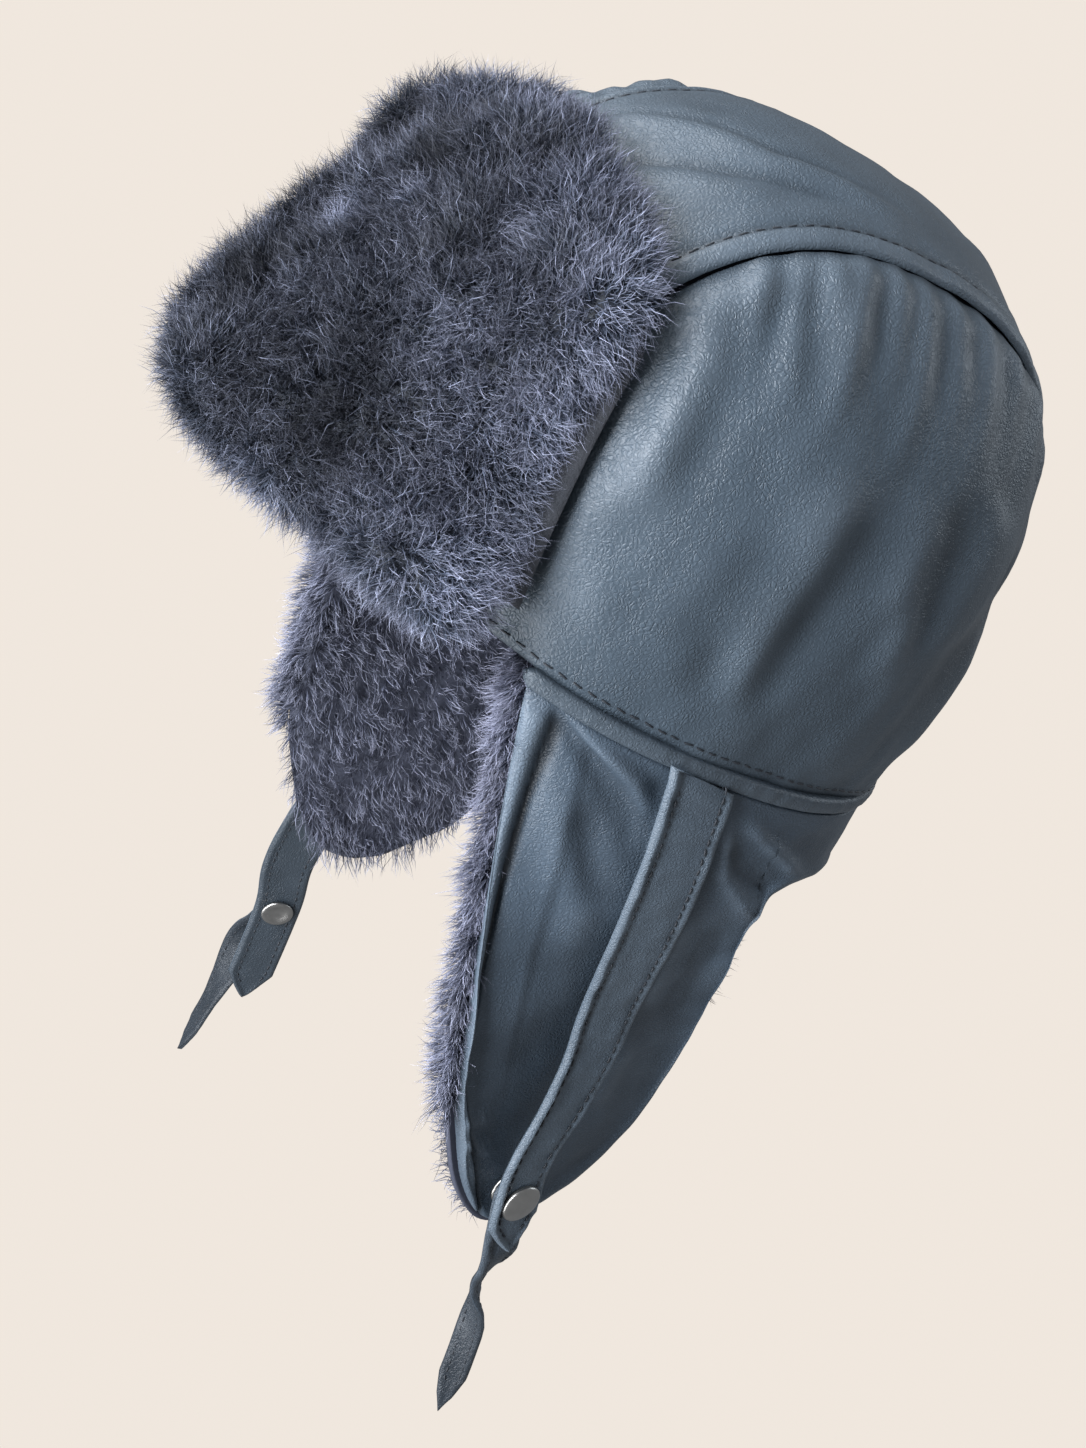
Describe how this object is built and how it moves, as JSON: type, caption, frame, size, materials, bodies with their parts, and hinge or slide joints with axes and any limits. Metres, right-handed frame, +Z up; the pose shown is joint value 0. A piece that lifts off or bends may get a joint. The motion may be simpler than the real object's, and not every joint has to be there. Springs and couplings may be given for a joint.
{
  "type": "sheepskin aviator hat",
  "caption": "Leather hat with a gathered round crown, an upturned fur visor, fur-lined ear flaps and long straps whose chin ties are snapped on at their ends.",
  "frame": {"origin": "middle of the head opening, on the plane of the crown's lower seam, where the hat sits on a head", "axes": "+Z up with the ear flaps hanging straight down, -Y the front with the visor, +X the wearer's left"},
  "size_m": [0.2256, 0.2431, 0.458],
  "materials": {
    "panel_leather": "semi-gloss, fine grain",
    "leather": "semi-gloss, fine grain",
    "trim_leather": "satin, fine grain",
    "visor_fur": "deep soft pile",
    "lining_fur": "dense clipped pile",
    "hide": "matt suede",
    "nickel": "brushed nickel"
  },
  "bodies": {
    "root": {"crown_side_left": "panel_leather", "crown_side_right": "panel_leather", "crown_top_strip": "leather", "rim_welt": "trim_leather", "ear_flap_left": "leather", "ear_flap_right": "leather", "fur_lining_crown": "lining_fur", "fur_lining_flap_left": "lining_fur", "fur_lining_flap_right": "lining_fur", "visor_fur": "visor_fur", "visor_hide": "hide", "strap_left": "trim_leather", "strap_right": "trim_leather", "tie_left": "trim_leather", "tie_right": "trim_leather", "snap_left": "nickel", "snap_right": "nickel"}
  },
  "joints": []
}
